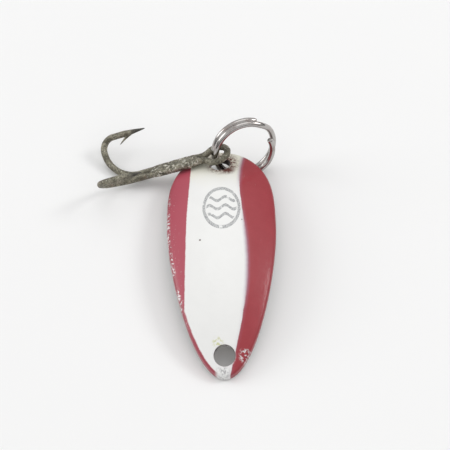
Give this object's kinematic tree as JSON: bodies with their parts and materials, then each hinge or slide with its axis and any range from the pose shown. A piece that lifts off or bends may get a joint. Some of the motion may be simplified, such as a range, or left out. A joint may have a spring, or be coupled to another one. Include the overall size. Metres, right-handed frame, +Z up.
{
  "type": "spoon lure",
  "caption": "Curved painted-metal casting spoon with a split ring through its rear hole and a double hook that swings on the ring.",
  "frame": {"origin": "under the middle of the bounding box, on the plane the lure lies on", "axes": "+Z up, +Y along the blade from the line hole to the ring, +X to the blade's right, away from the hook"},
  "size_m": [0.0264, 0.0406, 0.01],
  "materials": {
    "blade_paint": "glossy white enamel with a red stripe down each long side; the hollow side is plain bright nickel",
    "ring_nickel": "bright nickel plate, a little dulled",
    "hook_wire": "tarnished grey-brown plating with rust at the bend",
    "braze": "grainy grey-olive braze"
  },
  "bodies": {
    "blade": {"blade": "blade_paint"},
    "ring": {"split_ring": "ring_nickel"},
    "hook": {"double_hook": "hook_wire", "shank_braze": "braze"}
  },
  "joints": [
    {"name": "ring_swing", "type": "hinge", "parent": "blade", "child": "ring", "pos_m": [0.00486, 0.01392, 0.00335], "axis": [-0.0302, 0.295, 0.955], "range_deg": [0, 20]},
    {"name": "hook_swing", "type": "hinge", "parent": "ring", "child": "hook", "pos_m": [0.00437, 0.01471, 0.00535], "axis": [-0.0426, 0.3181, 0.9471], "range_deg": [-115, 4]}
  ]
}
